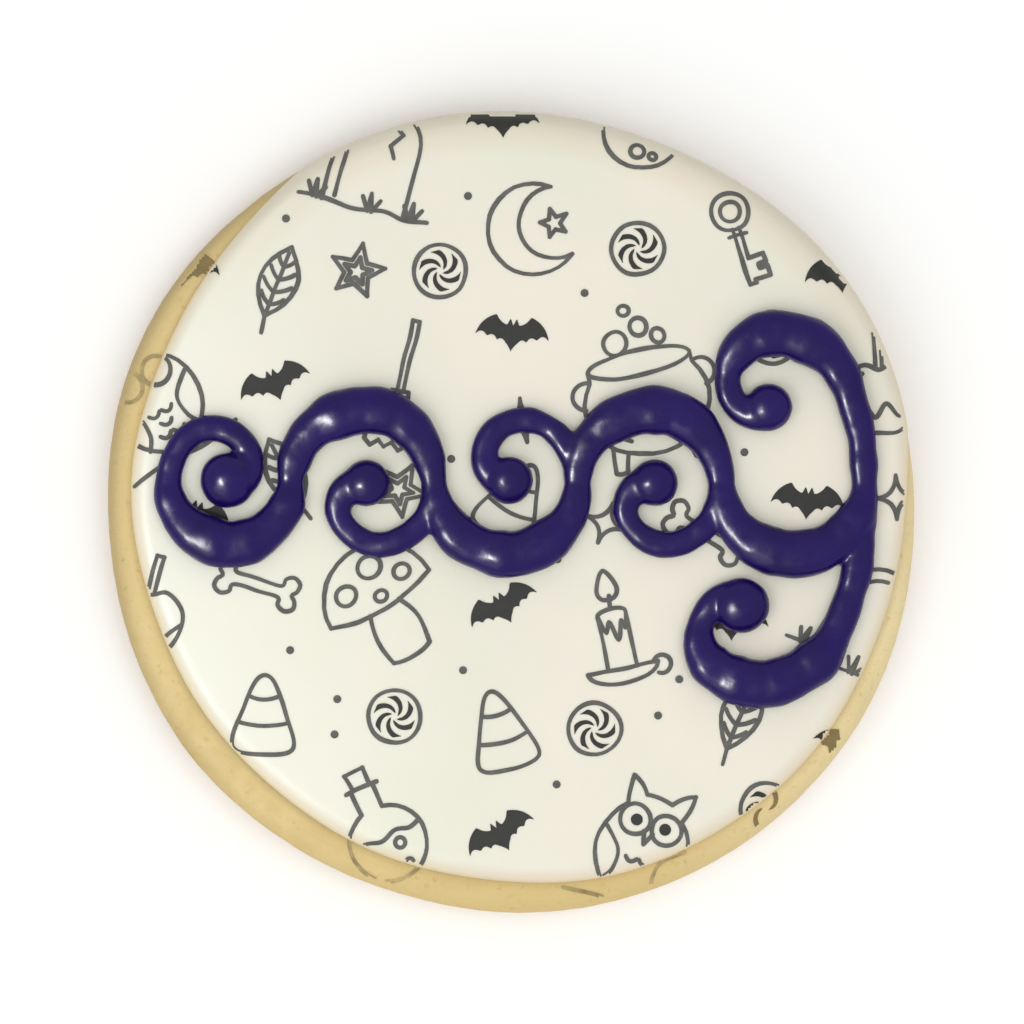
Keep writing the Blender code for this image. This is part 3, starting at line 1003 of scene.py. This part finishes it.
def flask():
    """A corked round flask of brew."""
    glass = [(-0.85, 3.2)] + arc((0.0, -1.5), 3.0, 106.5, 433.5) + [(0.85, 3.2)]
    level = curve([(-2.9, -1.1), (-1.7, -0.8), (-0.4, -1.2), (0.9, -0.8), (2.0, -1.15), (2.9, -0.9)])
    cork = [(-0.65, 3.3), (-0.8, 4.6), (0.8, 4.6), (0.65, 3.3)]
    bubbles = circles([((-0.35, -3.15), 0.55), ((0.8, -1.9), 0.4), ((0.8, -3.55), 0.3)])
    return pen(glass, level, cork) + bubbles + pen([(-1.25, 3.25), (1.25, 3.25)])


def candy_corn():
    """A kernel of layered sugar."""
    half = [(0.0, 3.7), (0.85, 3.0), (1.8, 0.7), (2.8, -2.2), (2.3, -3.3), (0.0, -3.6)]
    upper = bows([(-1.35, 1.7, -0.3), (1.35, 1.7, 0.0)])
    lower = bows([(-2.3, -0.7, -0.4), (2.3, -0.7, 0.0)])
    return pen(mirrored_curve(half), upper, lower)


def mushroom():
    """A spotted toadstool."""
    cap = arc((0.0, 0.3), 4.0, 0.0, 180.0, 0.95) + bows([(-4.0, 0.3, -0.75), (4.0, 0.3, 0.0)])
    stem = bows([(-1.15, -0.35, -0.3), (-1.5, -4.0, -0.35), (1.5, -4.0, -0.3), (1.15, -0.35, 0.0)])
    spots = [((-1.9, 1.7), 0.75), ((0.5, 2.6), 0.85), ((2.3, 1.2), 0.6), ((0.2, 0.5), 0.45)]
    return pen(cap, stem) + circles(spots, 0.85)


def tombstone():
    """A bare, cracked headstone in the grass."""
    stone = [(-2.9, -3.5)] + arc((0.0, 1.1), 2.9, 180.0, 0.0) + [(2.9, -3.5)]
    border = [(-2.1, -3.1)] + arc((0.0, 1.1), 2.1, 180.0, 100.0)
    crack = [(1.2, 3.7), (0.9, 2.7), (1.5, 2.1), (0.8, 1.2), (1.2, 0.4)]
    ground = curve([(-4.6, -3.6), (-2.9, -3.4), (-0.8, -3.7), (1.4, -3.4), (3.0, -3.6), (4.6, -3.4)])
    blades = ((-0.5, 0.9), (0.0, 0.0), (0.1, 1.2), (0.3, 0.0), (0.8, 0.8))
    tufts = [[(x + dx, y + dy) for dx, dy in blades] for x, y in ((-3.6, -3.5), (3.3, -3.5), (0.3, -3.6))]
    return pen(stone, border, crack, ground, *tufts)


def broom():
    """A besom with a bound brush of twigs."""
    stick = [(-0.28, -0.6), (-0.28, 5.4), (0.28, 5.4), (0.28, -0.6)]
    binding = [(-0.75, -0.6), (0.75, -0.6), (0.85, -1.6), (-0.85, -1.6), (-0.75, -0.6)]
    brush = bows([(-0.85, -1.6, -0.3), (-2.1, -5.0, 0.0)])
    for tooth in range(7):
        brush.append((-2.1 + 0.6 * tooth, -5.0 - (0.5 if tooth % 2 else 0.0)))
    brush += bows([(2.1, -5.0, -0.3), (0.85, -1.6, 0.0)])
    twigs = [[(0.35 * side, -2.0), (0.95 * side, -4.4)] for side in (-1, 0, 1)]
    return pen(stick, binding, [(-0.8, -1.1), (0.8, -1.1)], brush, *twigs)


def bone():
    """A bone with two knobs at each end."""
    quarter = [(0.0, 0.55), (2.1, 0.55), (2.3, 1.25), (3.0, 1.6), (3.7, 1.15), (3.65, 0.45), (3.25, 0.0)]
    return pen(mirrored_curve(quarter + [(x, -y) for x, y in reversed(quarter[:-1])]))


def owl():
    """A small owl on a twig."""
    body = arc((0.0, -0.6), 3.2, -232.0, 52.0, 1.12)
    left_ear = [(-1.97, 2.22, 0.1), (-2.3, 4.2, 0.12), (-0.9, 3.2, 0.1)]
    ears = bows(left_ear + [(0.9, 3.2, 0.12), (2.3, 4.2, 0.1), (1.97, 2.22, 0.0)])
    eye = pen(ring((1.15, 1.35), 1.05)) + blot(ring((1.05, 1.35), 0.42))
    wing = curve([(2.9, 0.3), (1.6, -0.9), (1.5, -2.4), (2.1, -3.4)])
    foot = [(0.7, -4.1), (0.7, -4.8)]
    beak = [(-0.35, 0.75), (0.0, -0.1), (0.35, 0.75)]
    tips = ((-0.5, -1.3), (0.5, -1.3), (0.0, -2.1), (-0.5, -2.9), (0.5, -2.9))
    breast = [bows([(x - 0.4, y, -0.28), (x + 0.4, y, 0.0)]) for x, y in tips]
    twig = curve([(-4.2, -4.9), (-1.5, -4.6), (1.5, -4.9), (4.2, -4.5)])
    return pen(body, ears) + both_sides(eye + pen(wing, foot)) + pen(beak, *breast, twig)


def candle():
    """A dripping candle in a dish."""
    wax = [(-1.2, -3.6), (-1.2, 1.0)] + arc((0.0, 1.0), 1.2, 180.0, 0.0, 0.35) + [(1.2, -3.6)]
    drips = curve([(-1.2, 0.9), (-0.8, -0.4), (-0.4, 0.4), (0.1, -1.2), (0.6, 0.3), (0.9, -0.3), (1.2, 0.9)])
    flame = curve([(0.0, 4.7), (0.85, 3.2), (0.5, 2.3), (-0.5, 2.3), (-0.85, 3.2)], closed=True)
    dish = arc((0.0, -3.6), 3.0, 180.0, 360.0, 0.42) + [(-3.0, -3.6)]
    handle = arc((3.3, -3.9), 0.75, -120.0, 150.0)
    return pen(wax, drips, [(0.0, 1.4), (0.1, 2.5)], flame, dish, handle)


def leaf():
    """A fallen leaf."""
    outline = bows([(0.0, 4.0, -1.7), (0.0, -2.8, -1.7), (0.0, 4.0, 0.0)])
    veins = []
    for step in range(4):
        y = -1.7 + 1.25 * step
        reach = 1.35 - 0.25 * abs(step - 1)
        veins.append(bows([(0.0, y, -0.1), (reach, y + 0.95, 0.0)]))
    return pen(outline, [(0.0, 3.4), (0.0, -2.8), (0.25, -4.2)]) + both_sides(pen(*veins))


def key():
    """An old door key."""
    handle = circles([((0.0, 2.7), 1.75), ((0.0, 2.7), 0.95)])
    shaft = [(-0.3, 1.0), (-0.3, -4.2), (0.3, -4.2), (0.3, -3.9), (1.7, -3.9), (1.7, -3.0), (1.0, -3.0)]
    shaft += [(1.0, -2.6), (1.7, -2.6), (1.7, -1.8), (0.3, -1.8), (0.3, 1.0)]
    return handle + pen(shaft, [(-0.75, 0.4), (0.75, 0.4)])


def toffee_apple():
    """An apple on a stick with a coat of toffee."""
    half = [(0.0, 2.3), (1.3, 2.7), (2.9, 1.5), (2.9, -0.8), (1.6, -2.6), (0.0, -2.8)]
    coat = [(-3.0, 0.5), (-2.1, -1.2), (-1.3, -0.4), (-0.4, -1.6), (0.5, -0.5), (1.5, -1.5), (2.2, -0.5)]
    stick = [(-0.28, 2.5), (-0.28, 5.4), (0.28, 5.4), (0.28, 2.5)]
    return pen(mirrored_curve(half), curve(coat + [(3.0, 0.5)]), stick, arc((0.0, 0.4), 2.1, 130.0, 165.0))


def speck():
    """A dot between the figures."""
    return [("dot", ring((0.0, 0.0), DOT_RADIUS))]


# The figures of the print: how to draw each, how far it reaches, its scale, and how many lie on the sheet
FIGURES = (
    (cauldron, 5.3, 1.65, 2),
    (owl, 4.8, 1.50, 2),
    (tombstone, 4.7, 1.50, 2),
    (mushroom, 4.4, 1.50, 2),
    (flask, 4.6, 1.35, 2),
    (broom, 4.8, 1.25, 2),
    (toffee_apple, 4.4, 1.30, 2),
    (candle, 4.4, 1.25, 2),
    (crescent, 4.0, 1.20, 3),
    (key, 3.9, 1.15, 3),
    (candy_corn, 3.6, 1.15, 4),
    (leaf, 3.3, 1.15, 4),
    (bone, 3.2, 1.15, 4),
    (bat, 3.0, 1.25, 13),
    (swirl_sweet, 2.9, 1.00, 13),
    (star, 2.7, 1.00, 4),
    (twinkle, 1.7, 1.10, 6),
    (speck, 0.4, 1.00, 50),
)


def wrapped(distance):
    """A distance on the sheet, which repeats itself on every side."""
    return min(abs(distance), SHEET_SIDE - abs(distance))


def scatter(reaches):
    """Places for round items of falling size, each as far as possible from those before it."""
    placed = []
    for reach in reaches:
        best = None
        for _ in range(SHEET_TRIES):
            x = random.uniform(-0.5, 0.5) * SHEET_SIDE
            y = random.uniform(-0.5, 0.5) * SHEET_SIDE
            gaps = [math.hypot(wrapped(x - px), wrapped(y - py)) - reach - other for px, py, other in placed]
            gap = min(gaps, default=0.0)
            if best is None or gap > best[0]:
                best = (gap, x, y)
        placed.append((best[1], best[2], reach))
    return [(x, y) for x, y, _ in placed]


def smooth_runs(points):
    """A line without doubled points, cut at its sharp corners."""
    kept = [Vector(points[0])]
    for point in points[1:]:
        if (Vector(point) - kept[-1]).length > 0.01:
            kept.append(Vector(point))
    runs = [[kept[0]]]
    for before, here, after in zip(kept, kept[1:], kept[2:]):
        runs[-1].append(here)
        if (here - before).angle(after - here) > SHARP_TURN:
            runs.append([here])
    runs[-1].append(kept[-1])
    return runs


def resampled(points, step):
    """The same line in even steps, as an array."""
    row = np.array([tuple(point) for point in points])
    along = np.concatenate([[0.0], np.cumsum(np.hypot(*np.diff(row, axis=0).T))])
    count = max(1, round(along[-1] / step))
    where = np.linspace(0.0, along[-1], count + 1)
    return np.column_stack([np.interp(where, along, row[:, 0]), np.interp(where, along, row[:, 1])])


def pen_waver(row, level):
    """Smooth random values from about -0.7 to 0.7 along a line; each level has its own."""
    return np.array([noise.noise(Vector((x / PEN_WAVE, y / PEN_WAVE, level))) for x, y in row])


def strip(run):
    """The points and faces of a thin pen line, LINE_WIDTH wide, that runs a little past its ends."""
    row = resampled(run, INK_STEP)
    row = row + PEN_SHAKE * np.column_stack([pen_waver(row, 3.0), pen_waver(row, 8.0)])
    ways = np.gradient(row, axis=0)
    ways /= np.linalg.norm(ways, axis=1)[:, None]
    half = LINE_WIDTH / 2
    row = np.vstack([row[0] - ways[0] * half, row, row[-1] + ways[-1] * half])
    ways = np.vstack([ways[0], ways, ways[-1]])
    width = half * (1 + PEN_PRESSURE * pen_waver(row, 15.0))
    width[[0, -1]] *= PEN_TIP
    side = np.column_stack([-ways[:, 1], ways[:, 0]]) * width[:, None]
    count = len(row)
    climb = np.linspace(0.0, INK_LEVEL, count)
    points = np.column_stack([np.vstack([row + side, row, row - side]), np.tile(climb, 3)])
    faces = []
    for left in (0, count):
        right = left + count
        faces += [(right + i, right + i + 1, left + i + 1, left + i) for i in range(count - 1)]
    return points, faces


def filled(outline):
    """The points and faces of a flat filled shape, with inner points to follow the surface."""
    edge = resampled(outline, INK_STEP)[:-1]
    low = edge.min(axis=0)
    high = edge.max(axis=0)
    columns = np.arange(low[0], high[0], PATCH_STEP)
    rows = np.arange(low[1], high[1], PATCH_STEP)
    points = [Vector(point) for point in edge] + [Vector((x, y)) for x in columns for y in rows]
    made, _, faces, *_ = delaunay_2d_cdt(points, [], [tuple(range(len(edge)))], 1, 1e-4)
    upward = []
    for face in faces:
        first, second, third = (made[index] for index in face[:3])
        upward.append(face if (second - first).cross(third - second) > 0 else face[::-1])
    return np.array([(point.x, point.y, 0.0) for point in made]), upward


def ground_under(trees, x, y):
    """The height at a place, and the layer on which ink lands there, or None where it is too steep."""
    for layer, tree in trees.items():
        hit, normal, _, _ = tree.ray_cast(Vector((x, y, ABOVE)), DOWN)
        if hit is not None:
            return hit.z, layer if normal.z > STEEPEST_PRINT[layer] else None
    return 0.0, None


def large_groups(faces, fewest):
    """The faces, without those that hang together in groups smaller than the fewest."""
    groups = []
    for face in faces:
        corners = set(face)
        members = [face]
        others = []
        for group_corners, group_members in groups:
            if group_corners & corners:
                corners |= group_corners
                members += group_members
            else:
                others.append((group_corners, group_members))
        groups = others + [(corners, members)]
    return [face for _, members in groups if len(members) >= fewest for face in members]


def lay(points, faces, solid, trees, prints):
    """Lay a flat figure on the layers and add what lands on each to that layer's print.

    A print is its points, its faces and how solid the ink is at each point.
    """
    found = [ground_under(trees, x, y) for x, y, _ in points]
    for layer, (made_points, made_faces, made_solid) in prints.items():
        landed = [face for face in faces if all(found[index][1] == layer for index in face)]
        chosen = large_groups(landed, FEWEST_FACES[layer])
        used = sorted({index for face in chosen for index in face})
        place = {index: len(made_points) + number for number, index in enumerate(used)}
        depth = len(used)
        made_solid += [solid] * (2 * depth)
        for drop in (INK_RISE, INK_RISE - INK_THICKNESS):
            for index in used:
                x, y, level = points[index]
                made_points.append((x, y, found[index][0] + level + drop))
        edges = set()
        for face in chosen:
            top = [place[index] for index in face]
            made_faces.append(top)
            made_faces.append([index + depth for index in reversed(top)])
            edges |= set(zip(top, top[1:] + top[:1]))
        for start, end in edges:
            if (end, start) not in edges:
                made_faces.append([end, start, start + depth, end + depth])


def make_print(icing, biscuit):
    """The whole print: figures scattered over the sheet and laid on the icing and on the bare dough."""
    depsgraph = bpy.context.evaluated_depsgraph_get()
    trees = {
        "icing": BVHTree.FromObject(icing, depsgraph),
        "biscuit": BVHTree.FromObject(biscuit, depsgraph),
    }
    prints = {layer: ([], [], []) for layer in trees}
    items = [(draw, reach * scale, scale) for draw, reach, scale, count in FIGURES for _ in range(count)]
    places = scatter([reach for _, reach, _ in items])
    laid = 0
    for (draw, _, scale), (x, y) in zip(items, places):
        turn = scale * Matrix.Rotation(math.radians(random.uniform(-LARGEST_TURN, LARGEST_TURN)), 2)
        for kind, points in draw():
            placed = [turn @ Vector(point) + Vector((x, y)) for point in points]
            shapes = [strip(run) for run in smooth_runs(placed)] if kind == "line" else [filled(placed)]
            for flat, faces in shapes:
                raised = flat + (0.0, 0.0, INK_LEVEL * (laid % INK_LEVELS))
                lay(raised * MM, faces, SOLID_INK[kind], trees, prints)
                laid += 1
    for layer, (points, faces, solid) in prints.items():
        name = "ink_on_" + layer
        mesh = bpy.data.meshes.new(name)
        mesh.from_pydata(points, [], faces)
        set_attribute(mesh, "solid", solid)
        dress(add_object(name, mesh), None, ink_material(name, *INK_TONES[layer]))


def main():
    random.seed(SEED)
    make_camera()
    make_lights()
    make_floor()
    biscuit = make_biscuit()
    icing = make_icing()
    make_scroll()
    make_print(icing, biscuit)


main()
